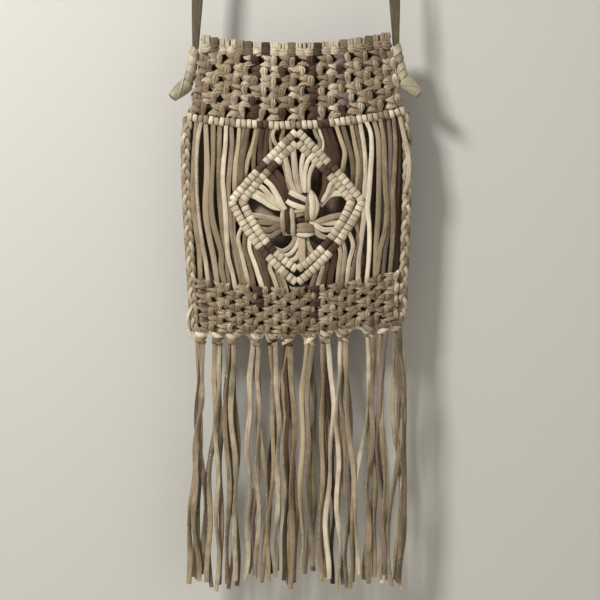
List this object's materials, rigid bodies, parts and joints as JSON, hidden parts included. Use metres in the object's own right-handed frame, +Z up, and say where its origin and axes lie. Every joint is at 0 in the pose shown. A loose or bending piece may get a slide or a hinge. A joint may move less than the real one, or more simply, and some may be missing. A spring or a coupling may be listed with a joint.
{
  "type": "macrame shoulder bag",
  "caption": "Flat fringed shoulder bag knotted from cream and brown suede laces, with a diamond of half hitches, a braided edge and a long fringe.",
  "frame": {"origin": "under the top of the strap's arch, where the bag hangs on a shoulder or a peg", "axes": "+Z up along the hanging strap, the knotted front faces -Y, +X to the right seen from the front"},
  "size_m": [0.2507, 0.0238, 1.0058],
  "materials": {
    "suede_cream": "smooth grain side of suede lace, cream",
    "suede_taupe": "rough flesh side of suede lace, taupe to olive tan",
    "suede_brown": "dark brown suede lace",
    "strap_olive": "olive brown suede strap, worn smooth",
    "back_suede": "grey brown suede panel"
  },
  "bodies": {
    "root": {"strap": "strap_olive", "strap_wrap_left": "suede_cream", "strap_bead_left": "suede_cream", "strap_wrap_right": "suede_cream", "strap_bead_right": "suede_cream", "back_panel": "back_suede", "holding_cord": "suede_taupe", "mounting_knots": "suede_cream", "upper_knot_band": "suede_cream", "cording_bar": "suede_cream", "diamond_upper_left_outer": "suede_cream", "diamond_upper_left_inner": "suede_cream", "diamond_upper_right_outer": "suede_cream", "diamond_upper_right_inner": "suede_cream", "diamond_lower_left_outer": "suede_cream", "diamond_lower_left_inner": "suede_cream", "diamond_lower_right_outer": "suede_cream", "diamond_lower_right_inner": "suede_cream", "centre_wrap_right": "suede_cream", "centre_wrap_left": "suede_taupe", "centre_wrap_lower": "suede_cream", "gathered_upper_left": "suede_brown", "gathered_upper_middle": "suede_cream", "gathered_upper_right": "suede_cream", "gathered_lower_left": "suede_cream", "gathered_lower_middle": "suede_cream", "gathered_lower_right": "suede_cream", "hanging_lace_left_1": "suede_cream", "hanging_lace_left_2": "suede_brown", "hanging_lace_left_3": "suede_cream", "hanging_lace_left_4": "suede_taupe", "hanging_lace_left_5": "suede_cream", "hanging_lace_left_6": "suede_taupe", "hanging_lace_left_7": "suede_cream", "side_braid_left": "suede_cream", "hanging_lace_right_1": "suede_cream", "hanging_lace_right_2": "suede_brown", "hanging_lace_right_3": "suede_cream", "hanging_lace_right_4": "suede_taupe", "hanging_lace_right_5": "suede_cream", "hanging_lace_right_6": "suede_taupe", "hanging_lace_right_7": "suede_cream", "side_braid_right": "suede_cream", "lower_knot_band": "suede_cream", "tassel_1": "suede_cream", "tassel_2": "suede_taupe", "tassel_3": "suede_cream", "tassel_4": "suede_taupe", "tassel_5": "suede_cream", "tassel_6": "suede_taupe", "tassel_7": "suede_cream", "tassel_8": "suede_taupe", "tassel_9": "suede_cream", "tassel_10": "suede_taupe", "tassel_11": "suede_cream", "tassel_12": "suede_taupe"}
  },
  "joints": []
}
